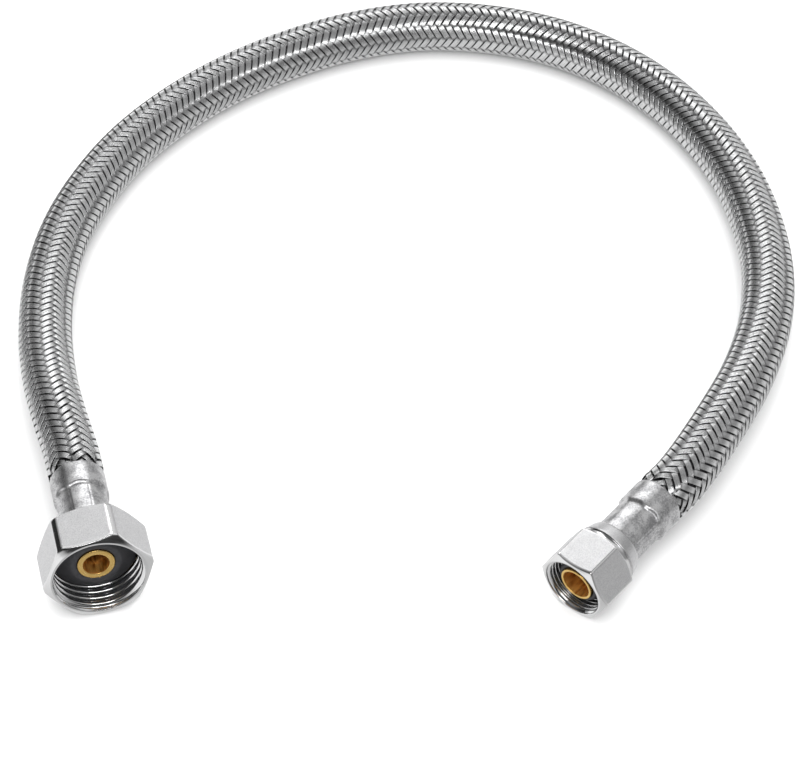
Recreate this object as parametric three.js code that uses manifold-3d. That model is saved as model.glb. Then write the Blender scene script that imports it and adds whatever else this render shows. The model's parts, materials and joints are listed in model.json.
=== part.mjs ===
// Braided supply line: a flexible hose with a 1/2 in swivel nut for the faucet at one end
// and a 3/8 in compression swivel nut for the stop valve at the other, lying on a flat surface.
// Millimetres, +Z up. The surface is z = 0, and the origin lies midway between the two fittings.
import * as THREE from 'three';
import { mergeVertices } from 'three/addons/utils/BufferGeometryUtils.js';
import Module from 'manifold-3d';

const wasm = await Module();
wasm.setup();

// ---------------------------------------------------------------- driving dimensions

const CLEARANCE = 0.3;          // gap between fixed neighbours
const PLAY = 0.4;               // axial play of a swivel nut on its insert

const HOSE = {
  braidRadius: 6.35,            // 1/2 in over the braid
  braidWall: 0.7,
  linerWall: 1.6,
  sides: 10,
  steps: 40,
};

const FERRULE = {
  length: 19,
  wall: 0.45,
  skirtSqueeze: 0.85,           // how much the wide end closes the braid in
  skirtLength: 6.3,
  neckSqueeze: 1.35,            // how much the crimped barrel closes it in
  stepLength: 0.8,              // axial length of the slope from skirt to neck
  lipThickness: 0.8,            // inward lip that grips the insert
  lipReach: 0.6,
};

const INSERT = {
  stemWall: 0.4,
  barbHeight: 0.4,
  barbPitch: 2.6,
  barbSlope: 1.8,               // the rising part of each barb
  barbFall: 0.15,               // the steep part behind its crest
  stemStart: 1.5,
  flangeSetback: 0.4,           // the flange is this much smaller than the gasket on it
  boreStep: 1,                  // axial length of the cone between the two bores
};

const FAUCET = {
  threadRadius: 9.7,            // crest radius of the 1/2 in - 14 straight pipe thread
  nutWall: 1.4125,              // from the thread's crests to the flats, 7/8 in across flats
  nutLength: 11.7,
  cornerCut: 0.4,               // depth of the flat that breaks each hex corner
  turn: 9.5,                    // degrees that the hexagon is turned from standing on a flat
  rearCounterbore: 0,
  webThickness: 1.8,
  mouthChamfer: 0.55,
  rimWidth: 0.45,
  flangeThickness: 1.4,
  noseRadius: 4.2,
  noseWall: 1.25,
  noseSetback: 4.2,             // from the nut's rim back to the nose's tip
  gasketSetback: 4.5,
  gasketCrown: 1.5,             // the gasket's flat top is this much wider than the nose
  gasketEdge: 0.9,              // height of the gasket's cylindrical edge
};

const VALVE = {
  threadRadius: 6.7,            // crest radius of the 9/16 in - 24 compression thread
  nutWall: 1.2375,              // 5/8 in across flats
  nutLength: 15.4,
  cornerCut: 0.1,
  turn: 0,
  rearCounterbore: 3.5,
  webThickness: 2.0,
  mouthChamfer: 0.5,
  rimWidth: 0.4,
  flangeThickness: 1.6,
  noseRadius: 4.1,
  noseWall: 0.6,
  noseSetback: 1.35,
  gasketSetback: 2.0,
  gasketCrown: 0.9,
  gasketEdge: 1.4,
  shoulderLength: 3.4,          // cone at the back of the nut
  shoulderWall: 0.6,            // at the cone's narrow end, around the ferrule
  shoulderRise: 0.95,           // from the narrow end out to the collar
  collarLength: 1.0,            // turned groove between the cone and the hexagon
  collarEdge: 0.2,              // chamfer between the cone and the groove
};

// Each end is where the hose enters its ferrule. heading turns local +Y to the way the nut
// faces, and pitch tips the mouth up (positive) or down, in degrees.
const FAUCET_END = { x: -60.2, y: 27.1, heading: 183, pitch: 1.6 };
const VALVE_END = { x: 67.3, y: -1.0, heading: 130, pitch: -4 };

// The hose's centre line between the two ends, at its real length.
const ROUTE = [
  [-62.0, 47.7, 10.7],
  [-63.0, 62.2, 9.0],
  [-62.5, 80.2, 7.3],
  [-59.7, 98.2, 6.5],
  [-54.2, 115.2, 6.35],
  [-46.1, 130.2, 6.35],
  [-35.6, 144.2, 6.35],
  [-22.6, 156.2, 6.35],
  [-7.6, 166.2, 6.35],
  [8.9, 173.7, 6.35],
  [26.9, 178.7, 6.35],
  [44.9, 179.7, 6.35],
  [62.9, 175.7, 6.35],
  [79.4, 167.2, 6.35],
  [92.9, 154.7, 6.35],
  [102.9, 139.7, 6.35],
  [109.7, 122.7, 6.35],
  [113.2, 105.2, 6.4],
  [113.5, 87.2, 6.8],
  [111.1, 69.2, 7.8],
  [105.7, 51.7, 9.0],
  [97.4, 35.2, 10.1],
  [87.4, 20.7, 10.9],
];
const STRAIGHT_EXIT = 9;        // straight run of hose behind each ferrule

const SEGMENTS = 32;
const NUT_SEGMENTS = 40;
const TAIL_SEGMENTS = 18;
const CUT_MARGIN = 1;           // how far a cutting solid passes the surface that it cuts

// ---------------------------------------------------------------- radii that follow from them

const BRAID_INNER = HOSE.braidRadius - HOSE.braidWall;
const LINER_OUTER = BRAID_INNER - CLEARANCE;
const LINER_INNER = LINER_OUTER - HOSE.linerWall;

const SKIRT_BRAID = HOSE.braidRadius - FERRULE.skirtSqueeze;
const NECK_BRAID = HOSE.braidRadius - FERRULE.neckSqueeze;
const SKIRT_RADIUS = SKIRT_BRAID + CLEARANCE + FERRULE.wall;
const NECK_RADIUS = NECK_BRAID + CLEARANCE + FERRULE.wall;
const LIP_RADIUS = NECK_RADIUS - FERRULE.wall - FERRULE.lipReach;

const STEM_RADIUS = LINER_INNER - CLEARANCE - INSERT.barbHeight;
const STEM_BORE = STEM_RADIUS - INSERT.stemWall;
const JOURNAL_RADIUS = LIP_RADIUS - CLEARANCE;   // the smooth neck that a nut turns on

const apothem = (size) => size.threadRadius + size.nutWall;
const mouthRadius = (size) => size.threadRadius + size.mouthChamfer;
const faceRadius = (size) => mouthRadius(size) + size.rimWidth;

// ---------------------------------------------------------------- solids

// A triangle mesh with shared corners as a manifold solid.
function toSolid(geometry) {
  const bare = geometry.clone();
  bare.deleteAttribute('normal');
  bare.deleteAttribute('uv');
  const merged = mergeVertices(bare, 1e-5);
  return new wasm.Manifold(new wasm.Mesh({
    numProp: 3,
    vertProperties: new Float32Array(merged.attributes.position.array),
    triVerts: new Uint32Array(merged.index.array),
  }));
}

function toGeometry(solid) {
  const mesh = solid.getMesh();
  const geometry = new THREE.BufferGeometry();
  geometry.setAttribute('position', new THREE.BufferAttribute(new Float32Array(mesh.vertProperties), 3));
  geometry.setIndex(new THREE.BufferAttribute(new Uint32Array(mesh.triVerts), 1));
  geometry.computeVertexNormals();
  return geometry;
}

// A body turned about local Y from an outline of [radius, y] points, counterclockwise.
function turned(outline, segments = SEGMENTS) {
  const points = outline.map(([radius, y]) => new THREE.Vector2(radius, y));
  points.push(points[0].clone());
  return new THREE.LatheGeometry(points, segments);
}

// ---------------------------------------------------------------- places

const radians = THREE.MathUtils.degToRad;
const CHAMFER_SLOPE = Math.tan(radians(30));   // rise of the chamfer on a nut's corners

// Outline of a hexagon with cut corners, as [x, z] points, turned about local Y.
function hexOutline(size) {
  const inner = apothem(size);
  const halfFlat = inner * Math.tan(radians(30)) - size.cornerCut / Math.cos(radians(60));
  const outline = [];
  for (let flat = 0; flat < 6; flat += 1) {
    const angle = radians(size.turn + 60 * flat);
    for (const side of [-halfFlat, halfFlat]) {
      outline.push([
        inner * Math.sin(angle) + side * Math.cos(angle),
        inner * Math.cos(angle) - side * Math.sin(angle),
      ]);
    }
  }
  return outline;
}

const FAUCET_NUT_START = FERRULE.length + CLEARANCE - FAUCET.rearCounterbore;
const VALVE_NUT_START = FERRULE.length + PLAY - VALVE.rearCounterbore;

// Height of a fitting's local origin when its nut rests on the surface.
function restHeight(size, nutStart, end) {
  const reach = Math.max(...hexOutline(size).map(([, z]) => -z));
  const pitch = radians(end.pitch);
  const chamferRun = (reach - faceRadius(size)) * CHAMFER_SLOPE;
  const contact = end.pitch > 0 ? nutStart + chamferRun : nutStart + size.nutLength - chamferRun;
  return reach * Math.cos(pitch) - contact * Math.sin(pitch);
}

const FAUCET_HEIGHT = restHeight(FAUCET, FAUCET_NUT_START, FAUCET_END);
const VALVE_HEIGHT = restHeight(VALVE, VALVE_NUT_START, VALVE_END);

function endMatrix(end, height) {
  const turn = new THREE.Euler(radians(end.pitch), 0, radians(end.heading), 'ZXY');
  return new THREE.Matrix4().makeRotationFromEuler(turn).setPosition(end.x, end.y, height);
}

const FAUCET_FRAME = endMatrix(FAUCET_END, FAUCET_HEIGHT);
const VALVE_FRAME = endMatrix(VALVE_END, VALVE_HEIGHT);

// A point on a fitting's axis, in the part's frame.
function onAxis(frame, y) {
  return new THREE.Vector3(0, y, 0).applyMatrix4(frame);
}

// ---------------------------------------------------------------- hose

const TUBE_SETBACK = 0.9;       // the full-size hose stops this far behind the ferrule

const hosePath = new THREE.CatmullRomCurve3([
  onAxis(FAUCET_FRAME, -TUBE_SETBACK),
  onAxis(FAUCET_FRAME, -STRAIGHT_EXIT),
  ...ROUTE.map(([x, y, z]) => new THREE.Vector3(x, y, z)),
  onAxis(VALVE_FRAME, -STRAIGHT_EXIT),
  onAxis(VALVE_FRAME, -TUBE_SETBACK),
]);

function polygonOutline(target, radius) {
  for (let side = 0; side <= HOSE.sides; side += 1) {
    const angle = (side / HOSE.sides) * Math.PI * 2;
    const place = [radius * Math.cos(angle), radius * Math.sin(angle)];
    if (side === 0) target.moveTo(...place);
    else target.lineTo(...place);
  }
  return target;
}

function pathTube(outerRadius, innerRadius) {
  const section = polygonOutline(new THREE.Shape(), outerRadius);
  section.holes.push(polygonOutline(new THREE.Path(), innerRadius));
  return new THREE.ExtrudeGeometry(section, {
    steps: HOSE.steps,
    bevelEnabled: false,
    extrudePath: hosePath,
  });
}

// The hose's crimped ends. Each starts inside the wall of the full-size tube and is joined to it.
const TAIL_DEPTH = 3;             // how far each tail reaches back into the full-size hose
const TAIL_END = FERRULE.length - FERRULE.lipThickness - 2 * CLEARANCE;
const TAIL_BORE = LINER_INNER + HOSE.linerWall / 16;
const CRIMPED_WALL = (NECK_BRAID - CLEARANCE - TAIL_BORE) / 2;
const GRIP_INNER = BRAID_INNER + HOSE.braidWall / 7;
const GRIP_OUTER = BRAID_INNER + HOSE.braidWall * 4 / 7;
const CLOSE_START = -0.55;        // the braid closes in between these two places
const CLOSE_END = -0.2;
const STEP_SHIFT = 0.2;           // each layer's step lies this far behind the one outside it

// The two corners of a layer's step, where its radius falls from the skirt's to the neck's.
function stepCorners(skirtRadius, shift) {
  const start = FERRULE.skirtLength - shift * STEP_SHIFT;
  return [
    [skirtRadius, start],
    [skirtRadius - SKIRT_BRAID + NECK_BRAID, start + FERRULE.stepLength],
  ];
}

// The braid's end, squeezed down to pass under the ferrule.
function braidTail() {
  const inner = SKIRT_BRAID - CRIMPED_WALL;
  return turned([
    [GRIP_OUTER, -TAIL_DEPTH],
    [GRIP_OUTER, CLOSE_START],
    [SKIRT_BRAID, CLOSE_END],
    ...stepCorners(SKIRT_BRAID, 2),
    [NECK_BRAID, TAIL_END],
    [NECK_BRAID - CRIMPED_WALL, TAIL_END],
    ...stepCorners(inner, 2).reverse(),
    [inner, CLOSE_END],
    [GRIP_INNER, CLOSE_START],
    [GRIP_INNER, -TAIL_DEPTH],
  ], TAIL_SEGMENTS);
}

function linerTail() {
  const outer = SKIRT_BRAID - CRIMPED_WALL - CLEARANCE;
  return turned([
    [outer, -TAIL_DEPTH],
    ...stepCorners(outer, 3),
    [TAIL_BORE + CRIMPED_WALL, TAIL_END],
    [TAIL_BORE, TAIL_END],
    [TAIL_BORE, -TAIL_DEPTH],
  ], TAIL_SEGMENTS);
}

// One hose layer: the tube along the path joined to a crimped tail at each end.
function hoseLayer(outerRadius, innerRadius, tail) {
  let solid = toSolid(pathTube(outerRadius, innerRadius));
  for (const frame of [FAUCET_FRAME, VALVE_FRAME]) {
    solid = solid.add(toSolid(tail().applyMatrix4(frame)));
  }
  return toGeometry(solid);
}

// ---------------------------------------------------------------- fittings, along local +Y

function ferrule() {
  const { length, wall, lipThickness } = FERRULE;
  return turned([
    [SKIRT_RADIUS, 0],
    ...stepCorners(SKIRT_RADIUS, 0),
    [NECK_RADIUS, length],
    [LIP_RADIUS, length],
    [LIP_RADIUS, length - lipThickness],
    [NECK_RADIUS - wall, length - lipThickness],
    ...stepCorners(SKIRT_RADIUS - wall, 0).reverse(),
    [SKIRT_RADIUS - wall, 0],
  ]);
}

// Places along a fitting's axis that its insert, gasket and nut share.
function stations(size, nutStart) {
  const webEnd = nutStart + size.rearCounterbore + size.webThickness;
  const rim = nutStart + size.nutLength;
  const flangeStart = webEnd + PLAY;
  const flangeEnd = flangeStart + size.flangeThickness;
  return {
    nutStart,
    webStart: nutStart + size.rearCounterbore,
    webEnd,
    flangeStart,
    flangeEnd,
    gasketStart: flangeEnd + CLEARANCE,
    gasketTop: rim - size.gasketSetback,
    noseTip: rim - size.noseSetback,
    rim,
  };
}

// As many barbs as the ferrule's neck has room for.
function barbs(shoulder) {
  const { barbHeight, barbPitch, barbSlope, barbFall } = INSERT;
  const count = Math.floor((shoulder - FERRULE.skirtLength) / barbPitch);
  const points = [];
  for (let barb = 0; barb < count; barb += 1) {
    const start = FERRULE.skirtLength + barb * barbPitch;
    points.push([STEM_RADIUS, start]);
    points.push([STEM_RADIUS + barbHeight, start + barbSlope]);
    points.push([STEM_RADIUS, start + barbSlope + barbFall]);
  }
  return points;
}

function insert(size, at) {
  const shoulder = FERRULE.length - FERRULE.lipThickness;
  const flangeRadius = size.threadRadius - CLEARANCE - INSERT.flangeSetback;
  const noseBore = size.noseRadius - size.noseWall;
  const outline = [
    [STEM_RADIUS, INSERT.stemStart],
    ...barbs(shoulder),
    [STEM_RADIUS, shoulder],
    [JOURNAL_RADIUS, shoulder],
    [JOURNAL_RADIUS, at.flangeStart],
    [flangeRadius, at.flangeStart],
    [flangeRadius, at.flangeEnd],
    [size.noseRadius, at.flangeEnd],
    [size.noseRadius, at.noseTip],
    [noseBore, at.noseTip],
  ];
  if (noseBore > STEM_BORE) {
    outline.push([noseBore, at.flangeEnd + INSERT.boreStep], [STEM_BORE, at.flangeEnd]);
  }
  outline.push([STEM_BORE, INSERT.stemStart]);
  return turned(outline);
}

function gasket(size, at) {
  const baseRadius = size.threadRadius - CLEARANCE;
  return turned([
    [baseRadius, at.gasketStart],
    [baseRadius, at.gasketStart + size.gasketEdge],
    [size.noseRadius + size.gasketCrown, at.gasketTop],
    [size.noseRadius + CLEARANCE, at.gasketTop],
    [size.noseRadius + CLEARANCE, at.gasketStart],
  ]);
}

// The turned envelope that the hexagon is cut to: chamfered ends, and a cone and a groove at
// the back of a nut that has a shoulder.
function nutEnvelope(size, at) {
  const corner = apothem(size) / Math.cos(radians(30)) + CUT_MARGIN;
  const front = faceRadius(size);
  const outline = [];
  let rear = front;
  let hexStart = at.nutStart;
  if (size.shoulderLength) {
    const narrow = NECK_RADIUS + CLEARANCE + size.shoulderWall;
    const coneEnd = at.nutStart + size.shoulderLength;
    rear = narrow + size.shoulderRise;
    hexStart = coneEnd + size.collarLength;
    outline.push(
      [narrow, at.nutStart],
      [rear + size.collarEdge, coneEnd],
      [rear, coneEnd + size.collarEdge],
    );
  }
  outline.push(
    [rear, hexStart],
    [corner, hexStart + (corner - rear) * CHAMFER_SLOPE],
    [corner, at.rim - (corner - front) * CHAMFER_SLOPE],
    [front, at.rim],
    [0, at.rim],
    [0, at.nutStart],
  );
  return turned(outline, NUT_SEGMENTS);
}

function nutCavity(size, at) {
  const counterRadius = NECK_RADIUS + CLEARANCE;
  const back = at.nutStart - CUT_MARGIN;
  const outline = [[0, back]];
  if (size.rearCounterbore > 0) {
    outline.push([counterRadius, back], [counterRadius, at.webStart], [LIP_RADIUS, at.webStart]);
  } else {
    outline.push([LIP_RADIUS, back]);
  }
  outline.push(
    [LIP_RADIUS, at.webEnd],
    [size.threadRadius, at.webEnd],
    [size.threadRadius, at.rim - size.mouthChamfer],
    [mouthRadius(size) + CUT_MARGIN, at.rim + CUT_MARGIN],
    [0, at.rim + CUT_MARGIN],
  );
  return turned(outline, NUT_SEGMENTS);
}

function hexPrism(size, at) {
  const shape = new THREE.Shape(hexOutline(size).map(([x, z]) => new THREE.Vector2(x, -z)));
  const prism = new THREE.ExtrudeGeometry(shape, { depth: size.nutLength, bevelEnabled: false });
  return prism.rotateX(-Math.PI / 2).translate(0, at.nutStart, 0);
}

function nut(size, at) {
  const body = toSolid(hexPrism(size, at)).intersect(toSolid(nutEnvelope(size, at)));
  return toGeometry(body.subtract(toSolid(nutCavity(size, at))));
}

// ---------------------------------------------------------------- the line

const FINISH = {
  stainless: { color: 0xb9bbbd, roughness: 0.32, metalness: 1 },
  nickel: { color: 0xc9cacb, roughness: 0.22, metalness: 1 },
  brass: { color: 0xc9963c, roughness: 0.25, metalness: 1 },
  rubber: { color: 0x2b2c2e, roughness: 0.75, metalness: 0 },
  liner: { color: 0xd8d6cf, roughness: 0.6, metalness: 0 },
};

function piece(name, geometry, finish) {
  const mesh = new THREE.Mesh(geometry, new THREE.MeshStandardMaterial(FINISH[finish]));
  mesh.name = name;
  return mesh;
}

function fitting(name, size, frame, nutStart) {
  const at = stations(size, nutStart);
  const group = new THREE.Group();
  group.applyMatrix4(frame);
  group.add(
    piece(`${name}_ferrule`, ferrule(), 'stainless'),
    piece(`${name}_insert`, insert(size, at), 'brass'),
    piece(`${name}_gasket`, gasket(size, at), 'rubber'),
    piece(`${name}_nut`, nut(size, at), 'nickel'),
  );
  return group;
}

const supplyLine = new THREE.Group();
supplyLine.add(
  piece('braid_sleeve', hoseLayer(HOSE.braidRadius, BRAID_INNER, braidTail), 'stainless'),
  piece('inner_hose', hoseLayer(LINER_OUTER, LINER_INNER, linerTail), 'liner'),
  fitting('faucet', FAUCET, FAUCET_FRAME, FAUCET_NUT_START),
  fitting('valve', VALVE, VALVE_FRAME, VALVE_NUT_START),
);

export default supplyLine;
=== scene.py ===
import json
import math

import bpy
import numpy as np
from mathutils import Matrix, Vector


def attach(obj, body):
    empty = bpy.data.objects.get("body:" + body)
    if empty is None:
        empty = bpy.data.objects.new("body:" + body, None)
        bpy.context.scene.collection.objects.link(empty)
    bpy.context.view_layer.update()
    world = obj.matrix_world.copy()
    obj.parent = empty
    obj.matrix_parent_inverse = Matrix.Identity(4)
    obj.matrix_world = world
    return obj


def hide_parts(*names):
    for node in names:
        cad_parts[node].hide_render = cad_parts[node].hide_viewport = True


# A braided supply line: a woven stainless hose with a large swivel nut for a faucet at one
# end and a small compression swivel nut for a stop valve at the other, on a pale floor.
# Shapes are worked out in millimetres and scaled to metres as each mesh is made.
# A fitting is made in a frame of its own, with local +Y from the hose's end to the mouth.

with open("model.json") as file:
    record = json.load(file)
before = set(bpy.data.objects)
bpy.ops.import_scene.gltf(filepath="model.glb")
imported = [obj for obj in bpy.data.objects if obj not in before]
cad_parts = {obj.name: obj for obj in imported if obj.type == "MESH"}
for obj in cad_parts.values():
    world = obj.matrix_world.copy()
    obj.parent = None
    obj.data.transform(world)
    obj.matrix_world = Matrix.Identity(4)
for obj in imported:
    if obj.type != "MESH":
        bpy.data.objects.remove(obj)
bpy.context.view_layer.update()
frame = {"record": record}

rng = np.random.default_rng(20)

# ------------------------------------------------------------------ sizes, in millimetres

MM = 0.001                       # metres in a millimetre
PIVOT = 25.0                     # a swivel's joint lies this far along its fitting's axis
CLEARANCE = 0.3                  # round what a nut turns on, and round a gasket

CORE_RADIUS = 5.35               # the rubber hose under the braid
CORE_BORE = 3.75
CORE_RINGS, CORE_AROUND = 260, 40

CARRIERS = 12                    # braid ribbons wound each way
LAY = 25.92                      # length of hose in which a ribbon goes once round
WEAVE = LAY / (2 * CARRIERS) * 4    # length in which it passes over two and under two
RINGS_PER_WEAVE = 19
OVER_RADIUS = 6.25               # middle of a ribbon where it passes over
UNDER_RADIUS = 6.02
FLOAT = 1.5                      # how flat a ribbon stays between its dips
RIBBON_WIDTH = 1.4
RIBBON_MARGIN = 0.2              # a ribbon stops this far short of the core's ends
WIRES = 7                        # wires lying side by side in a ribbon
WIRE_HEIGHT = 0.2
WIRE_STEPS = (-0.5, -0.22, 0.22)    # points across a wire: the groove before it, then its top

SQUEEZE = 0.72                   # how much the ferrule closes the braid in
SQUEEZE_RUN = 3.2                # the stretch of hose behind the ferrule that tapers
TAIL = 3.0                       # how far the visible layers reach into a ferrule

FERRULE = dict(
    length=19.0,
    wall=0.45,
    skirt=6.25,                  # radius of the wide end, over the hose
    skirt_length=6.3,
    neck=5.75,                   # radius of the barrel behind the nut
    step=0.5,                    # length of the slope from skirt to neck
    lip=4.7,                     # radius of the hole in the front end
    lip_thickness=0.8,
)
DIES = 8                         # jaws of the tool that crimps a ferrule
FIRST_DIE = 0.3                  # their turn, in radians

STEM = dict(
    start=1.5,
    radius=3.05,
    bore=2.65,
    barb=0.4,                    # how far a barb stands out
    barb_pitch=2.6,
    barb_run=1.8,                # length of a barb's slope
    barb_end=1.95,
    journal=4.4,                 # radius that the nut turns on
    shoulder=18.2,               # where the journal starts
)
BARBS = 4
FLANGE_GAP = 0.7                 # between an insert's flange and the thread's crests
GASKET_FIT = 0.06                # between a gasket and the nose through it

# What differs between the two fittings. Lengths are places along the fitting's axis:
#   start, rim            rear and front of the nut
#   apothem, cut, turn    hexagon: half its width, cut of its corners, turn in degrees
#   web                   rear and front of the wall that the insert passes through
#   crest, root, pitch    thread
#   mouth, face           radii of the bevel inside the rim and of the flat front face
#   flange, gasket        rear and front of each; gasket_top and gasket_edge shape the cone
#   nose, nose_bore, nose_tip   the insert's front tube
#   cone                  behind the hexagon: end radius, collar radius, length and groove
FAUCET = dict(
    start=19.3, rim=31.0, apothem=11.1125, cut=0.4, turn=9.5, web=(19.3, 21.1),
    crest=9.7, root=10.55, pitch=1.814, mouth=10.25, face=10.7,
    flange=(21.5, 22.9), gasket=(23.2, 26.5), gasket_top=5.7, gasket_edge=0.9,
    nose=4.2, nose_bore=2.95, nose_tip=26.8, cone=None,
)
VALVE = dict(
    start=15.9, rim=31.3, apothem=7.9375, cut=0.1, turn=0.0, web=(19.4, 21.4),
    crest=6.7, root=7.22, pitch=1.058, mouth=7.2, face=7.6,
    flange=(21.8, 23.4), gasket=(23.7, 29.3), gasket_top=5.0, gasket_edge=1.4,
    nose=4.1, nose_bore=3.5, nose_tip=29.95, cone=(6.65, 7.6, 3.4, 1.0),
)
CHAMFER = math.tan(math.radians(30))    # slope of the chamfers on a hexagon's ends
EDGE = 0.05                      # a flat's last column lies this far from its edge
THREAD_GAP = 0.3                 # the thread starts this far in front of the web
ROWS_PER_TURN = 15               # mesh rows in one turn of thread
RIM_EDGE = 0.12                  # the thread's last row stays this far behind the rim

# How far the rounding of a nut's edges reaches
ROUND_FLAT = 0.06                # round the flats
ROUND_FACE = 0.08                # round the front face
ROUND_WEB = 0.1                  # at the web and the collar's front
ROUND_REAR = 0.12                # at the rear openings and the groove
ROUND_ROOT = 0.15                # where the web meets the thread
ROUND_CONE = 0.2                 # at the cone's end

# The hose's centre line between its two straight ends, in metres, as in the CAD model.
ROUTE = [
    (-0.0620, 0.0477, 0.0107), (-0.0630, 0.0622, 0.0090), (-0.0625, 0.0802, 0.0073),
    (-0.0597, 0.0982, 0.0065), (-0.0542, 0.1152, 0.00635), (-0.0461, 0.1302, 0.00635),
    (-0.0356, 0.1442, 0.00635), (-0.0226, 0.1562, 0.00635), (-0.0076, 0.1662, 0.00635),
    (0.0089, 0.1737, 0.00635), (0.0269, 0.1787, 0.00635), (0.0449, 0.1797, 0.00635),
    (0.0629, 0.1757, 0.00635), (0.0794, 0.1672, 0.00635), (0.0929, 0.1547, 0.00635),
    (0.1029, 0.1397, 0.00635), (0.1097, 0.1227, 0.00635), (0.1132, 0.1052, 0.0064),
    (0.1135, 0.0872, 0.0068), (0.1111, 0.0692, 0.0078), (0.1057, 0.0517, 0.0090),
    (0.0974, 0.0352, 0.0101), (0.0874, 0.0207, 0.0109),
]
STRAIGHT = (-0.9, -9.0)          # places on each fitting's axis that the centre line passes
HOSE_SAMPLES = 1800

CAMERA_TARGET = (0.0184, 0.0544, 0.0)
CAMERA_DISTANCE = 0.7724
CAMERA_ELEVATION = math.radians(45)
CAMERA_AZIMUTH = math.radians(10.03)
CAMERA_SENSOR = 36
CAMERA_LENS = 147.06


# ------------------------------------------------------------------ camera

def make_camera():
    towards = Vector((
        math.sin(CAMERA_AZIMUTH) * math.cos(CAMERA_ELEVATION),
        math.cos(CAMERA_AZIMUTH) * math.cos(CAMERA_ELEVATION),
        -math.sin(CAMERA_ELEVATION),
    ))
    data = bpy.data.cameras.new("camera")
    data.sensor_width = CAMERA_SENSOR
    data.lens = CAMERA_LENS
    camera = bpy.data.objects.new("camera", data)
    camera.location = Vector(CAMERA_TARGET) - CAMERA_DISTANCE * towards
    camera.rotation_euler = towards.to_track_quat("-Z", "Y").to_euler()
    bpy.context.scene.collection.objects.link(camera)
    bpy.context.scene.camera = camera


make_camera()


# ------------------------------------------------------------------ places

def fitting_frame(joint_name):
    """Matrix of a fitting's own frame, found from its swivel's joint."""
    joints = frame["record"]["behaviour"]["joints"]
    joint = next(j for j in joints if j["name"] == joint_name)
    forward = Vector(joint["axis"]).normalized()
    side = forward.cross(Vector((0, 0, 1))).normalized()
    rise = side.cross(forward)
    turn = Matrix((side, forward, rise)).transposed().to_4x4()
    origin = Vector(joint["pos_m"]) - forward * PIVOT * MM
    return Matrix.Translation(origin) @ turn


FAUCET_FRAME = fitting_frame("faucet_nut_turn")
VALVE_FRAME = fitting_frame("valve_nut_turn")


def on_axis(fitting, y):
    """The point y millimetres along a fitting's axis, in metres."""
    return np.array(fitting @ Vector((0, y * MM, 0)))


def smooth_path(points, per_span=48):
    """Centripetal Catmull-Rom through the points."""
    points = np.array(points)
    points = np.vstack([2 * points[0] - points[1], points, 2 * points[-1] - points[-2]])
    out = []
    t = np.linspace(0, 1, per_span, endpoint=False)[:, None]
    for a, b, c, d in zip(points, points[1:], points[2:], points[3:]):
        before, span, after = (
            np.linalg.norm(q - p) ** 0.5 for p, q in ((a, b), (b, c), (c, d)))
        start = ((b - a) / before - (c - a) / (before + span) + (c - b) / span) * span
        stop = ((c - b) / span - (d - b) / (span + after) + (d - c) / after) * span
        square = 3 * (c - b) - 2 * start - stop
        cube = 2 * (b - c) + start + stop
        out.append(b + t * start + t**2 * square + t**3 * cube)
    return np.vstack([*out, points[-2]])


def along(line):
    """Distance from the start of a line to each of its points."""
    return np.concatenate([[0], np.cumsum(np.linalg.norm(np.diff(line, axis=0), axis=1))])


def unit(v):
    return v / np.linalg.norm(v, axis=-1, keepdims=True)


class Hose:
    """The centre line in millimetres, with a frame that doesn't twist."""

    def __init__(self):
        leaving = [on_axis(FAUCET_FRAME, y) for y in STRAIGHT]
        arriving = [on_axis(VALVE_FRAME, y) for y in reversed(STRAIGHT)]
        curve = smooth_path([*leaving, *map(np.array, ROUTE), *arriving])
        first, last = on_axis(FAUCET_FRAME, TAIL), on_axis(VALVE_FRAME, TAIL)
        line = np.vstack([first, curve, last]) / MM
        s = along(line)
        self.length = s[-1]
        self.s = np.linspace(0, self.length, HOSE_SAMPLES)
        self.centre = np.stack([np.interp(self.s, s, line[:, i]) for i in range(3)], 1)
        self.tangent = unit(np.gradient(self.centre, self.s, axis=0))
        normal = [unit(np.cross(np.cross(self.tangent[0], [0, 0, 1.0]), self.tangent[0]))]
        for t in self.tangent[1:]:
            normal.append(unit(normal[-1] - t * (normal[-1] @ t)))
        self.normal = np.array(normal)
        self.side = np.cross(self.tangent, self.normal)

    def at(self, s):
        """Centre, up and side vectors at lengths s."""
        def pick(rows):
            return np.stack([np.interp(s, self.s, rows[:, i]) for i in range(3)], 1)
        return pick(self.centre), unit(pick(self.normal)), unit(pick(self.side))

    def squeeze(self, s):
        """How much smaller the hose is at s, towards and inside the ferrules."""
        into = np.minimum(s, self.length - s) - TAIL
        t = np.clip(1 - into / SQUEEZE_RUN, 0, 1)
        return SQUEEZE * t * t * (3 - 2 * t)


HOSE = Hose()


# ------------------------------------------------------------------ meshes

def mesh_object(name, vertices, faces, materials, indices=None, matrix=None):
    """An object from vertices in millimetres and four-sided faces."""
    mesh = bpy.data.meshes.new(name)
    vertices = np.asarray(vertices, dtype=np.float32) * MM
    faces = np.asarray(faces, dtype=np.int32)
    mesh.vertices.add(len(vertices))
    mesh.vertices.foreach_set("co", vertices.ravel())
    mesh.loops.add(faces.size)
    mesh.loops.foreach_set("vertex_index", faces.ravel())
    mesh.polygons.add(len(faces))
    mesh.polygons.foreach_set("loop_start", np.arange(len(faces), dtype=np.int32) * 4)
    mesh.polygons.foreach_set("use_smooth", np.ones(len(faces), dtype=bool))
    for material in materials:
        mesh.materials.append(material)
    if indices is not None:
        mesh.polygons.foreach_set("material_index", np.asarray(indices, dtype=np.int32))
    mesh.update(calc_edges=True)
    piece = bpy.data.objects.new(name, mesh)
    if matrix is not None:
        piece.matrix_world = matrix
    bpy.context.scene.collection.objects.link(piece)
    return piece


def finish_piece(piece, body, slot, *cad_nodes):
    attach(piece, body)
    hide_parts(*cad_nodes)


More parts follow.
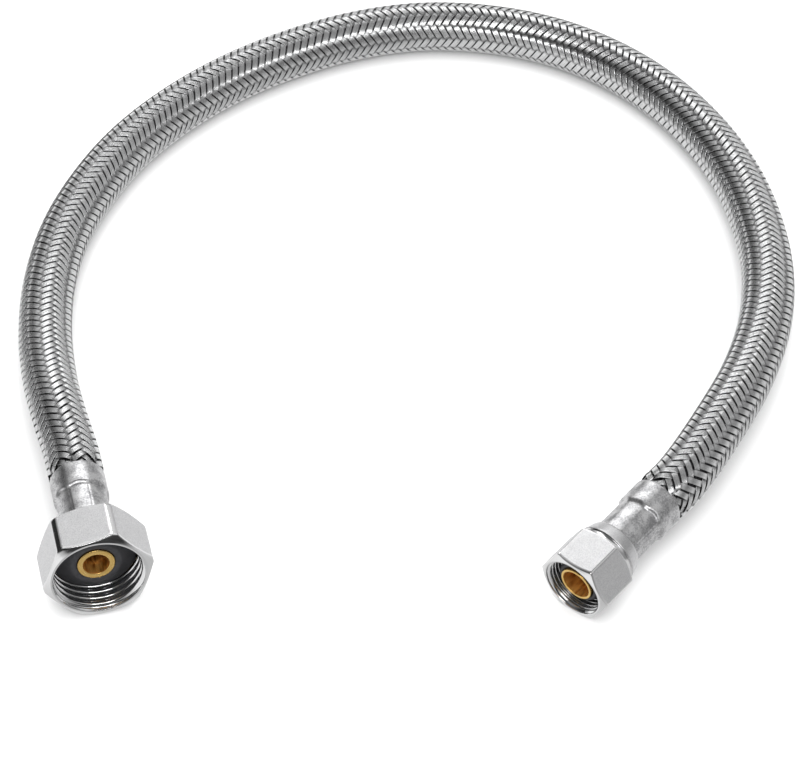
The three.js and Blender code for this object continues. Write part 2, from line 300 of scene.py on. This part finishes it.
def ring_faces(rings, around, close_rings=False, flip=False):
    """Quads between rings of points; the points of a ring are closed, and the rings may be."""
    rows = np.arange(rings if close_rings else rings - 1)[:, None]
    cols = np.arange(around)[None, :]
    after, right = (rows + 1) % rings, (cols + 1) % around
    corners = (
        rows * around + cols, rows * around + right,
        after * around + right, after * around + cols,
    )
    quads = np.stack(np.broadcast_arrays(*corners), -1).reshape(-1, 4)
    return quads[:, ::-1] if flip else quads


# ------------------------------------------------------------------ materials

def new_material(name, colour, metallic, roughness):
    material = bpy.data.materials.new(name)
    material.use_nodes = True
    shader = material.node_tree.nodes["Principled BSDF"]
    shader.inputs["Base Color"].default_value = (*colour, 1)
    shader.inputs["Metallic"].default_value = metallic
    shader.inputs["Roughness"].default_value = roughness
    return material, material.node_tree, shader


def node(tree, kind, **inputs):
    made = tree.nodes.new(kind)
    for key, value in inputs.items():
        made.inputs[key.replace("_", " ")].default_value = value
    return made


def math_node(tree, operation, *values):
    """A Math node's output; each value is a number or another node's output."""
    made = tree.nodes.new("ShaderNodeMath")
    made.operation = operation
    for socket, value in zip(made.inputs, values):
        if isinstance(value, (int, float)):
            socket.default_value = value
        else:
            tree.links.new(value, socket)
    return made.outputs[0]


def object_position(tree):
    return tree.nodes.new("ShaderNodeTexCoord").outputs["Object"]


def turned_position(tree, stretch, run=1.0):
    """Radius, length times run, and angle times stretch, for noise in rings or streaks."""
    split = tree.nodes.new("ShaderNodeSeparateXYZ")
    tree.links.new(object_position(tree), split.inputs[0])
    x, y, z = split.outputs
    square = math_node(
        tree, "ADD", math_node(tree, "MULTIPLY", x, x), math_node(tree, "MULTIPLY", z, z))
    radius = math_node(tree, "SQRT", square)
    angle = math_node(tree, "MULTIPLY", math_node(tree, "ARCTAN2", x, z), stretch)
    join = tree.nodes.new("ShaderNodeCombineXYZ")
    for socket, value in zip(join.inputs, (radius, math_node(tree, "MULTIPLY", y, run), angle)):
        tree.links.new(value, socket)
    return join.outputs[0]


def noise(tree, position, scale, detail=3.0):
    made = node(tree, "ShaderNodeTexNoise", Scale=scale, Detail=detail)
    tree.links.new(position, made.inputs["Vector"])
    return made.outputs["Fac"]


def spread_over(tree, value, low, high, socket):
    """Maps noise, which mostly lies between 0.3 and 0.7, to a range on a number socket."""
    made = node(
        tree, "ShaderNodeMapRange", From_Min=0.3, From_Max=0.7, To_Min=low, To_Max=high)
    tree.links.new(value, made.inputs["Value"])
    tree.links.new(made.outputs[0], socket)


def tint(tree, value, dark, light, socket, low=0.32, high=0.68):
    """Maps a value between low and high to colours between dark and light."""
    made = tree.nodes.new("ShaderNodeValToRGB")
    for element, at, colour in zip(made.color_ramp.elements, (low, high), (dark, light)):
        element.position = at
        element.color = (*colour, 1)
    tree.links.new(value, made.inputs[0])
    tree.links.new(made.outputs[0], socket)


def bump(tree, shader, height, strength, distance):
    made = node(tree, "ShaderNodeBump", Strength=strength, Distance=distance)
    tree.links.new(height, made.inputs["Height"])
    tree.links.new(made.outputs[0], shader.inputs["Normal"])


def wire_steel():
    """Drawn stainless wire, dull, with painted shade in its colour: dark down in the weave, in
    its grooves and at ribbon edges, as the "shade" attribute says.
    """
    material, tree, shader = new_material("wire_steel", (0.7, 0.71, 0.72), 1, 0.25)
    shade = tree.nodes.new("ShaderNodeAttribute")
    shade.attribute_name = "shade"
    # painted shade: the attribute runs the wire colour from near black in the weave to bright
    # steel on top
    tint(tree, shade.outputs["Fac"], (0.03, 0.03, 0.032), (0.9, 0.905, 0.91),
         shader.inputs["Base Color"], 0, 0.95)
    marks = noise(tree, object_position(tree), 1200, 2)
    spread_over(tree, marks, 0.2, 0.26, shader.inputs["Roughness"])
    return material


def core_rubber():
    material, tree, shader = new_material("core_rubber", (0.02, 0.02, 0.021), 0, 0.7)
    tint(tree, noise(tree, object_position(tree), 700), (0.012, 0.012, 0.013),
         (0.03, 0.03, 0.031), shader.inputs["Base Color"])
    return material


def crimped_steel():
    """Satin stainless with a speckle of die marks, denser in some patches."""
    material, tree, shader = new_material("crimped_steel", (0.74, 0.74, 0.75), 1, 0.33)
    place = object_position(tree)
    patches = noise(tree, place, 420)
    half_marks = math_node(tree, "MULTIPLY", noise(tree, place, 2600), 0.5)
    speckle = math_node(tree, "MULTIPLY_ADD", patches, 0.5, half_marks)
    tint(tree, speckle, (0.42, 0.42, 0.43), (0.78, 0.78, 0.785),
         shader.inputs["Base Color"], 0.4, 0.57)
    spread_over(tree, speckle, 0.44, 0.34, shader.inputs["Roughness"])
    bump(tree, shader, speckle, 0.25, 0.00006)
    return material


def satin_nickel():
    """Plated flats with a fine sandy grain."""
    material, tree, shader = new_material("satin_nickel", (0.8, 0.8, 0.81), 1, 0.4)
    grain = noise(tree, object_position(tree), 4200, 4)
    tint(tree, grain, (0.68, 0.68, 0.69), (0.86, 0.86, 0.865),
         shader.inputs["Base Color"], 0.36, 0.64)
    patches = noise(tree, object_position(tree), 500, 2)
    spread_over(tree, patches, 0.36, 0.44, shader.inputs["Roughness"])
    bump(tree, shader, grain, 0.25, 0.00006)
    return material


def bright_nickel():
    """Turned and plated surfaces: chamfers, grooves, rims and threads."""
    material, tree, shader = new_material("bright_nickel", (0.82, 0.82, 0.825), 1, 0.1)
    marks = noise(tree, turned_position(tree, 0.0004), 4200, 2)
    spread_over(tree, marks, 0.06, 0.16, shader.inputs["Roughness"])
    bump(tree, shader, marks, 0.06, 0.00003)
    return material


def turned_brass():
    material, tree, shader = new_material("turned_brass", (0.83, 0.58, 0.22), 1, 0.2)
    marks = noise(tree, turned_position(tree, 0.0005), 4600, 2)
    tint(tree, marks, (0.78, 0.5, 0.15), (0.9, 0.63, 0.24), shader.inputs["Base Color"])
    spread_over(tree, marks, 0.14, 0.28, shader.inputs["Roughness"])
    bump(tree, shader, marks, 0.1, 0.00004)
    return material


def drilled_brass():
    """The rough bore through the insert, which scatters the light that gets in."""
    material, tree, shader = new_material("drilled_brass", (0.8, 0.42, 0.1), 0.8, 0.36)
    marks = noise(tree, turned_position(tree, 0.001, 0.08), 3200, 2)
    tint(tree, marks, (0.4, 0.16, 0.02), (1.0, 0.6, 0.17), shader.inputs["Base Color"])
    bump(tree, shader, marks, 0.15, 0.00005)
    return material


def gasket_rubber():
    material, tree, shader = new_material("gasket_rubber", (0.02, 0.02, 0.022), 0, 0.55)
    mottle = noise(tree, object_position(tree), 1400)
    tint(tree, mottle, (0.022, 0.022, 0.025), (0.045, 0.045, 0.05),
         shader.inputs["Base Color"])
    spread_over(tree, mottle, 0.45, 0.65, shader.inputs["Roughness"])
    bump(tree, shader, noise(tree, object_position(tree), 3600, 2), 0.15, 0.00003)
    return material


def floor_paint():
    material, tree, shader = new_material("floor_paint", (0.93, 0.93, 0.93), 0, 0.9)
    tint(tree, noise(tree, object_position(tree), 3), (0.92, 0.92, 0.92),
         (0.94, 0.94, 0.94), shader.inputs["Base Color"])
    return material


WIRE, CORE, CRIMPED = wire_steel(), core_rubber(), crimped_steel()
SATIN, BRIGHT = satin_nickel(), bright_nickel()
BRASS, DRILLED, RUBBER = turned_brass(), drilled_brass(), gasket_rubber()


# ------------------------------------------------------------------ hose

def make_core():
    """The rubber hose: a tube with its bore, closed by a ring at each end."""
    s = np.linspace(0, HOSE.length, CORE_RINGS)
    centre, up, side = HOSE.at(s)
    angle = np.linspace(0, 2 * np.pi, CORE_AROUND, endpoint=False)[None, :, None]
    out = np.cos(angle) * up[:, None] + np.sin(angle) * side[:, None]
    outer = centre[:, None] + (CORE_RADIUS - HOSE.squeeze(s))[:, None, None] * out
    inner = (centre[:, None] + CORE_BORE * out)[::-1]
    vertices = np.concatenate([outer, inner]).reshape(-1, 3)
    faces = ring_faces(2 * len(s), CORE_AROUND, close_rings=True)
    piece = mesh_object("hose_core", vertices, faces, [CORE])
    finish_piece(piece, "root", "liner", "inner_hose", "braid_sleeve")
    path = centre * MM
    return piece, path, along(path)[-1]


def ribbon_section():
    """Outline across a ribbon: (across, height, painted brightness) of each point.

    Wires lie side by side on top, and the flat underside has two points. The brightness is
    painted shade: darker in the grooves, darker still at the edges, and black underneath.
    """
    pitch = RIBBON_WIDTH / WIRES
    groove, crown, underside = 0.2, 0.48, -0.5      # heights, as shares of WIRE_HEIGHT
    # painted shade: brightness in the grooves between wires and at the ribbon's edges
    painted_groove_brightness, painted_edge_brightness = 0.6, 0.1
    top = []
    for wire in range(WIRES):
        middle = (wire + 0.5) * pitch - RIBBON_WIDTH / 2
        for step in WIRE_STEPS:
            in_groove = step == WIRE_STEPS[0]
            height = (groove if in_groove else crown) * WIRE_HEIGHT
            top.append((middle + step * pitch, height, painted_groove_brightness if in_groove else 1))
    top[0] = (-RIBBON_WIDTH / 2, 0, painted_edge_brightness)
    top.append((RIBBON_WIDTH / 2, 0, painted_edge_brightness))
    half_base = 0.42 * RIBBON_WIDTH
    bottom = [(side * half_base, underside * WIRE_HEIGHT, 0) for side in (1, -1)]
    return np.array(top + bottom)


def ribbon(section, start_angle, way):
    """One ribbon wound about the hose, over two and under two of those that cross it."""
    count = int(HOSE.length / WEAVE * RINGS_PER_WEAVE)
    s = np.linspace(RIBBON_MARGIN, HOSE.length - RIBBON_MARGIN, count)
    angle = start_angle + way * 2 * np.pi / LAY * s
    phase = np.cos(np.pi / 2 * (angle * CARRIERS / np.pi - 0.5))
    wave = way * np.tanh(FLOAT * phase) / math.tanh(FLOAT)
    middle, swing = (OVER_RADIUS + UNDER_RADIUS) / 2, (OVER_RADIUS - UNDER_RADIUS) / 2
    radius = middle + swing * wave - HOSE.squeeze(s)
    centre, up, side = HOSE.at(s)
    out = np.cos(angle)[:, None] * up + np.sin(angle)[:, None] * side
    place = centre + radius[:, None] * out
    forward = unit(np.gradient(place, axis=0))
    across = unit(np.cross(forward, out))
    lift = np.cross(across, forward)
    rows = (place[:, None] + section[None, :, :1] * across[:, None]
            + section[None, :, 1:2] * lift[:, None])
    # painted shade: the ribbon's colour goes dark where it dips under the ribbons that cross it
    painted_dip_shade = np.clip(wave * 0.8 + 0.45, 0, 1)      # dark where it dips under
    wires = np.repeat(0.82 + 0.18 * rng.random(WIRES), len(WIRE_STEPS))
    # painted shade from the outline, times each wire's own random tone
    light = section[:, 2] * np.concatenate([wires, np.ones(len(section) - len(wires))])
    return rows, painted_dip_shade[:, None] * light[None, :]


def strip_faces(rings, around):
    """A closed strip: its rings joined by quads, and each end closed by quads across it."""
    cap = np.array([(i, i + 1, around - 2 - i, around - 1 - i) for i in range(around // 2 - 1)])
    return np.vstack([ring_faces(rings, around), cap[:, ::-1], cap + (rings - 1) * around])


def make_braid():
    """All the ribbons, with the two that lie opposite each other in one piece."""
    section = ribbon_section()
    half = CARRIERS // 2
    for way, name in ((1, "right"), (-1, "left")):
        for group in range(half):
            vertices, faces, shades, count = [], [], [], 0
            for carrier in (group, group + half):
                rows, shade = ribbon(section, 2 * np.pi * carrier / CARRIERS, way)
                faces.append(strip_faces(len(rows), len(section)) + count)
                vertices.append(rows.reshape(-1, 3))
                shades.append(shade.ravel())
                count += shade.size
            piece = mesh_object(
                f"braid_wires_{name}_{group + 1}", np.vstack(vertices), np.vstack(faces), [WIRE])
            # the shade attribute carries painted shade and each wire's own tone
            attribute = piece.data.attributes.new("shade", "FLOAT", "POINT")
            attribute.data.foreach_set("value", np.concatenate(shades).astype(np.float32))
            finish_piece(piece, "root", "braid", "braid_sleeve")


# ------------------------------------------------------------------ turned pieces

def rounded(outline, radius, steps=3):
    """Cuts each corner of a closed outline of points with a short arc."""
    outline = np.array(outline, dtype=float)
    out = []
    for before, corner, after in zip(np.roll(outline, 1, 0), outline, np.roll(outline, -1, 0)):
        into, away = before - corner, after - corner
        cut = min(radius, 0.4 * np.linalg.norm(into), 0.4 * np.linalg.norm(away))
        a, b = corner + unit(into) * cut, corner + unit(away) * cut
        for t in np.linspace(0, 1, steps + 1):
            out.append((1 - t) ** 2 * a + 2 * t * (1 - t) * corner + t * t * b)
    return np.array(out)


def divided(outline, most):
    """Adds points on long sides of a closed outline, so that shading stays local."""
    out = []
    for a, b in zip(outline, np.roll(outline, -1, 0)):
        count = max(1, math.ceil(np.linalg.norm(b - a) / most))
        out += [a + (b - a) * i / count for i in range(count)]
    return np.array(out)


def round_y(radius, y, angle):
    """Points at radii and angles about local Y."""
    return np.stack([radius * np.sin(angle), y, radius * np.cos(angle)], -1).reshape(-1, 3)


def turned(name, outline, material, matrix, around=128, change=None):
    """A body turned about local Y from a closed counterclockwise outline of (radius, y)."""
    angle = np.linspace(0, 2 * np.pi, around, endpoint=False)
    radius = np.repeat(outline[:, :1], around, axis=1)
    y = np.repeat(outline[:, 1:], around, axis=1)
    if change:
        radius, y = change(radius, y, angle[None, :])
    faces = ring_faces(len(outline), around, close_rings=True)
    return mesh_object(name, round_y(radius, y, angle), faces, [material], matrix=matrix)


def crimp(radius, y, angle):
    """Facets and creases that the dies leave on a ferrule, most on its neck."""
    step = FERRULE["skirt_length"]
    half_die = np.pi / DIES
    off_lip = np.clip((radius - 5.0) / 0.4, 0, 1)       # 0 at the hole in the front end
    neck = 1 / (1 + np.exp(-(y - step - 0.4) * 4))      # 1 on the neck, 0 on the skirt

    def share(on_neck, on_skirt):
        return on_neck * neck + on_skirt * (1 - neck)

    across = (angle + FIRST_DIE) % (2 * np.pi / DIES) - half_die
    facet = math.cos(half_die) / np.cos(across) - 1
    crease = -0.12 * np.exp(-((half_die - np.abs(across)) / 0.035) ** 2)
    dent = share(0.35, 0.2) * radius * facet + crease * share(0.9, 0.25)
    ripple = 0.16 * np.sin(3 * angle + 0.8) + 0.22 * np.cos(DIES * (angle + FIRST_DIE))
    by_step = np.exp(-((y - step - 0.5) / 0.9) ** 2)
    return radius + (dent + 0.12) * off_lip, y + ripple * by_step * off_lip


def make_ferrule(prefix, matrix):
    f = FERRULE
    step_end = f["skirt_length"] + f["step"]
    lip_back = f["length"] - f["lip_thickness"]
    neck_inside, skirt_inside = f["neck"] - f["wall"], f["skirt"] - f["wall"]
    outline = [
        (f["skirt"], 0), (f["skirt"], f["skirt_length"]), (f["neck"], step_end),
        (f["neck"], f["length"]), (f["lip"], f["length"]), (f["lip"], lip_back),
        (neck_inside, lip_back), (neck_inside, step_end),
        (skirt_inside, f["skirt_length"]), (skirt_inside, 0),
    ]
    outline = divided(rounded(outline, 0.3), 0.35)
    name = f"{prefix}_ferrule_crimped"
    piece = turned(name, outline, CRIMPED, matrix, around=192, change=crimp)
    finish_piece(piece, "root", "ferrule", f"{prefix}_ferrule")
    return piece


def make_insert(prefix, size, matrix):
    """The brass insert: barbed stem, journal, flange and nose, with its bore in rough brass."""
    s = STEM
    back, front = size["flange"]
    flange_radius = size["crest"] - FLANGE_GAP
    barbs = []
    for barb in range(BARBS):
        start = FERRULE["skirt_length"] + barb * s["barb_pitch"]
        barbs += [
            (s["radius"], start), (s["radius"] + s["barb"], start + s["barb_run"]),
            (s["radius"], start + s["barb_end"]),
        ]
    outline = [
        (s["radius"], s["start"]), *barbs, (s["radius"], s["shoulder"]),
        (s["journal"], s["shoulder"]), (s["journal"], back), (flange_radius, back),
        (flange_radius, front), (size["nose"], front), (size["nose"], size["nose_tip"]),
        (size["nose_bore"], size["nose_tip"]), (size["nose_bore"], front + 1),
        (s["bore"], front), (s["bore"], s["start"]),
    ]
    outline = divided(rounded(outline, 0.15), 0.8)
    piece = turned(f"{prefix}_insert_turned", outline, BRASS, matrix)
    piece.data.materials.append(DRILLED)
    bore_limit = (size["nose_bore"] + 0.02) * MM
    for face in piece.data.polygons:
        corners = [piece.data.vertices[v].co for v in face.vertices]
        if max(math.hypot(p.x, p.z) for p in corners) < bore_limit:
            face.material_index = 1
    finish_piece(piece, "root", "insert", f"{prefix}_insert")
    return piece


def make_gasket(prefix, size, matrix):
    base, hole = size["crest"] - CLEARANCE, size["nose"] + GASKET_FIT
    bottom, top = size["gasket"]
    outline = [
        (base, bottom), (base, bottom + size["gasket_edge"]), (size["gasket_top"], top),
        (hole, top), (hole, bottom),
    ]
    outline = divided(rounded(outline, 0.35, steps=4), 0.5)
    piece = turned(f"{prefix}_gasket_moulded", outline, RUBBER, matrix)
    finish_piece(piece, "root", "gasket", f"{prefix}_gasket")
    return piece


# ------------------------------------------------------------------ nuts

def hexagon_columns(size):
    """Angles and radii round a hexagon with cut corners, and which columns are on a cut."""
    apothem, cut = size["apothem"], size["cut"]
    half = apothem * math.tan(math.radians(30)) - 2 * cut
    cut_half = cut * 2 * math.sin(math.radians(60))
    cut_apothem = apothem / math.cos(math.radians(30)) - cut
    flat_steps = [EDGE - half, *(half * np.linspace(-0.93, 0.93, 15)), half - EDGE]
    cut_steps = [-0.8 * cut_half, 0, 0.8 * cut_half]
    angles, radii, on_cut = [], [], []
    for corner in range(6):
        for distance, steps, offset, is_cut in (
                (apothem, flat_steps, 0, False), (cut_apothem, cut_steps, 30, True)):
            middle = math.radians(size["turn"] + 60 * corner + offset)
            for step in steps:
                angles.append(middle + math.atan2(step, distance))
                radii.append(math.hypot(step, distance))
                on_cut.append(is_cut)
    order = np.argsort(angles)
    return np.array(angles)[order], np.array(radii)[order], np.array(on_cut)[order]


def thread_radius(size, y, angle, first, last):
    """Radius of an internal thread at length y and an angle, running out at both ends."""
    turn = (y / size["pitch"] - angle / (2 * np.pi)) % 1
    ridge = np.clip((0.5 - np.abs(turn - 0.5)) * 4 - 0.2, 0, 1)
    ridge = ridge * ridge * (3 - 2 * ridge)
    run_in = np.clip((y - first) / size["pitch"], 0, 1)
    run_out = np.clip((last - y) / (0.6 * size["pitch"]) + 0.15, 0, 1)
    return size["root"] - (size["root"] - size["crest"]) * ridge * (run_in * run_out)


class Rows:
    """Rows of (radius, y) round a nut, each with the surface that starts at it.

    A radius or y is one number, or one for each column.
    """

    def __init__(self, columns):
        self.zero = np.zeros(columns)
        self.points, self.kinds = [], []

    def add(self, radius, y, kind):
        self.points.append((radius + self.zero, y + self.zero))
        self.kinds.append(kind)

    def between(self, a, b, shares, kind):
        """A row at each share of the way from point a to point b."""
        for t in shares:
            self.add(a[0] + (b[0] - a[0]) * t, a[1] + (b[1] - a[1]) * t, kind)

    def edge(self, before, at, after, reach, kind):
        """Three rows that round the edge at a point between two others."""
        before, at, after = (
            np.array([p[0] + self.zero, p[1] + self.zero]) for p in (before, at, after))
        into, away = before - at, after - at
        into /= np.maximum(np.hypot(*into), 1e-6)
        away /= np.maximum(np.hypot(*away), 1e-6)
        for a, b in ((reach, 0), (0.25 * reach, 0.25 * reach), (0, reach)):
            self.add(*(at + into * a + away * b), kind)


def add_cone(rows, size, edge_above, rear, hole):
    """The groove, collar and cone behind the hexagon, and the counterbore inside them."""
    start, back = size["start"], size["web"][0]
    narrow, collar, _, groove = size["cone"]
    radius, y = rear
    groove_end = y - groove
    groove_bottom = (radius, groove_end + 0.15)
    collar_edge, cone_end = (collar, groove_end - 0.1), (narrow, start)
    rows.edge(edge_above, rear, (radius, y - 1), ROUND_WEB, "bright")
    rows.edge(rear, groove_bottom, (collar, groove_end), ROUND_FLAT, "bright")
    rows.edge(groove_bottom, collar_edge, cone_end, ROUND_REAR, "cone")
    rows.between(collar_edge, cone_end, (0.2, 0.4, 0.6, 0.8), "cone")
    rows.edge((collar, groove_end), cone_end, (narrow - 1, start), ROUND_CONE, "bright")
    bore = FERRULE["neck"] + CLEARANCE
    rows.edge(cone_end, (bore, start), (bore, start + 1), ROUND_REAR, "bright")
    rows.edge((bore, start), (bore, back), (hole, back), ROUND_WEB, "bright")
    rows.edge((bore, back), (hole, back), (hole, size["web"][1]), ROUND_WEB, "bright")


def nut_rows(size, angle, corner):
    """Rows from the rim back over the outside, and from the web forward up the thread."""
    rows = Rows(len(angle))
    rim, start, face = size["rim"], size["start"], size["face"]
    web, root = size["web"][1], size["root"]
    hole = STEM["journal"] + CLEARANCE
    if size["cone"]:
        _, collar, cone_length, groove = size["cone"]
        rear = (collar - 0.35, start + cone_length + groove)
    else:
        rear = (face, start)
    front_edge = (corner, rim - (corner - face) * CHAMFER)
    rear_edge = (corner, rear[1] + (corner - rear[0]) * CHAMFER)

    rows.add(size["mouth"], rim - 0.08, "bright")
    rows.add(size["mouth"] + 0.08, rim, "bright")
    rows.add(face - 0.1, rim, "bright")
    rows.edge((face - 1, rim), (face, rim), front_edge, ROUND_FACE, "bright")
    rows.between((face, rim), front_edge, (0.35, 0.7), "bright")
    rows.edge((face, rim), front_edge, rear_edge, ROUND_FLAT, "edge")
    rows.between(front_edge, rear_edge, np.linspace(0.06, 0.94, 9), "flat")
    rows.edge(front_edge, rear_edge, rear, ROUND_FLAT, "edge")
    rows.between(rear_edge, rear, (0.4, 0.7), "bright")
    if size["cone"]:
        add_cone(rows, size, rear_edge, rear, hole)
    else:
        rows.edge(rear_edge, rear, (hole, start), ROUND_REAR, "bright")
        rows.between(rear, (hole, start), (0.35, 0.7), "bright")
        rows.edge(rear, (hole, start), (hole, web), ROUND_REAR, "bright")

    rows.edge((hole, web - 1), (hole, web), (root, web), ROUND_WEB, "bright")
    rows.add((hole + root) / 2, web, "bright")
    rows.edge((hole, web), (root, web), (root, rim), ROUND_ROOT, "bright")
    first, last = web + THREAD_GAP, rim - (root - size["crest"]) * 0.55
    for y in np.arange(first, rim - RIM_EDGE, size["pitch"] / ROWS_PER_TURN):
        bevel = size["mouth"] - (rim - y)
        rows.add(np.maximum(thread_radius(size, y, angle, first, last), bevel), y, "thread")
    return rows


def make_nut(prefix, size, matrix, body):
    """A nut of rows and columns of points, with its flats and cone in satin nickel."""
    angle, corner, on_cut = hexagon_columns(size)
    rows = nut_rows(size, angle, corner)
    radius, y = np.array(rows.points).transpose(1, 0, 2)
    # the columns follow the hexagon outside, and are spread evenly up the thread
    even = angle[0] + np.arange(len(angle)) * 2 * np.pi / len(angle)
    in_thread = np.array([kind == "thread" for kind in rows.kinds])[:, None]
    turn = np.where(in_thread, even, angle)
    faces = ring_faces(len(rows.kinds), len(angle), close_rings=True, flip=True)
    satin = [kind == "cone" or (kind == "flat" and not cut)
             for kind in rows.kinds for cut in on_cut]
    name = f"{prefix}_nut_threaded"
    piece = mesh_object(name, round_y(radius, y, turn), faces, [BRIGHT, SATIN], satin, matrix)
    finish_piece(piece, body, "nut", f"{prefix}_nut")
    return piece


# ------------------------------------------------------------------ the line

def make_fitting(prefix, size, matrix):
    return [
        make_ferrule(prefix, matrix),
        make_insert(prefix, size, matrix),
        make_gasket(prefix, size, matrix),
        make_nut(prefix, size, matrix, f"{prefix}_swivel"),
    ]


core, core_path, core_length = make_core()
make_braid()
make_fitting("faucet", FAUCET, FAUCET_FRAME)
valve_pieces = make_fitting("valve", VALVE, VALVE_FRAME)


# ------------------------------------------------------------------ floor and light

def make_floor():
    bpy.ops.mesh.primitive_plane_add(size=6, location=(0, 0, 0))
    floor = bpy.context.object
    floor.name = "floor"
    floor.data.materials.append(floor_paint())
    floor.visible_glossy = False


def area_light(name, place, size, power, mirrored=True):
    """A rectangular light aimed at the middle of the line, mirrored in the metal or not."""
    data = bpy.data.lights.new(name, "AREA")
    data.shape = "RECTANGLE"
    data.size, data.size_y = size
    data.energy = power
    light = bpy.data.objects.new(name, data)
    light.location = place
    aim = Vector((0.02, 0.08, 0.01)) - Vector(place)
    light.rotation_euler = aim.to_track_quat("-Z", "Y").to_euler()
    light.visible_glossy = mirrored
    bpy.context.scene.collection.objects.link(light)


def ramp_node(tree, value, stops):
    """Grey levels along a value from -1 to 1."""
    made = tree.nodes.new("ShaderNodeValToRGB")
    while len(made.color_ramp.elements) < len(stops):
        made.color_ramp.elements.new(0.5)
    for element, (at, light) in zip(made.color_ramp.elements, stops):
        element.position = (at + 1) / 2
        element.color = (light, light, light, 1)
    tree.links.new(math_node(tree, "MULTIPLY_ADD", value, 0.5, 0.5), made.inputs[0])
    return made.outputs[0]


def mixed(tree, share, first, second):
    """The first colour where share is 0, and the second where it is 1."""
    mix = tree.nodes.new("ShaderNodeMix")
    mix.data_type = "RGBA"
    tree.links.new(share, mix.inputs["Factor"])
    colours = [socket for socket in mix.inputs if socket.type == "RGBA"]
    tree.links.new(first, colours[0])
    tree.links.new(second, colours[1])
    return next(socket for socket in mix.outputs if socket.type == "RGBA")


# What the metal mirrors: (height, grey level) in each direction, from -1 below to 1 above.
# It is a pale sweep behind, a dark room in front and at the left, and greys above.
FRONT = (
    (-1, 0.7), (-0.6, 0.5), (-0.2, 0.4), (-0.03, 0.2), (0.06, 0.03),
    (0.3, 0.05), (0.5, 0.6), (0.78, 0.7), (0.9, 0.12), (1, 0.15),
)
BACK = (
    (-1, 0.7), (-0.6, 1.0), (-0.1, 1.1), (0, 0.9), (0.1, 0.4),
    (0.3, 0.35), (0.5, 0.8), (0.78, 0.9), (0.9, 0.12), (1, 0.15),
)
LEFT = (
    (-1, 0.7), (-0.6, 0.9), (-0.1, 1.0), (0, 0.6), (0.08, 0.02),
    (0.45, 0.04), (0.75, 0.3), (1, 0.15),
)
RIGHT = ((-1, 0.7), (-0.1, 0.7), (0.05, 0.26), (0.4, 0.3), (0.75, 0.5), (1, 0.15))


def make_world():
    world = bpy.data.worlds.new("studio")
    bpy.context.scene.world = world
    world.use_nodes = True
    tree = world.node_tree
    split = tree.nodes.new("ShaderNodeSeparateXYZ")
    direction = tree.nodes.new("ShaderNodeTexCoord").outputs["Generated"]
    tree.links.new(direction, split.inputs[0])
    x, y, z = split.outputs
    front, back, left, right = (
        ramp_node(tree, z, stops) for stops in (FRONT, BACK, LEFT, RIGHT))
    seen = mixed(tree, ramp_node(tree, y, ((-0.15, 0), (0.35, 1))), front, back)
    seen = mixed(tree, ramp_node(tree, x, ((-0.5, 1), (-0.25, 0))), seen, left)
    seen = mixed(tree, ramp_node(tree, x, ((0.6, 0), (0.85, 1))), seen, right)
    tree.links.new(seen, tree.nodes["Background"].inputs["Color"])


bpy.context.scene.view_settings.view_transform = "Standard"
make_floor()
make_world()
area_light("room", (0.02, 0.1, 1.6), (2.6, 2.6), 52, mirrored=False)
area_light("back", (0.18, 1.05, 1.0), (0.8, 0.45), 2.4)
area_light("front", (-0.1, -0.85, 1.05), (1.1, 0.4), 7)
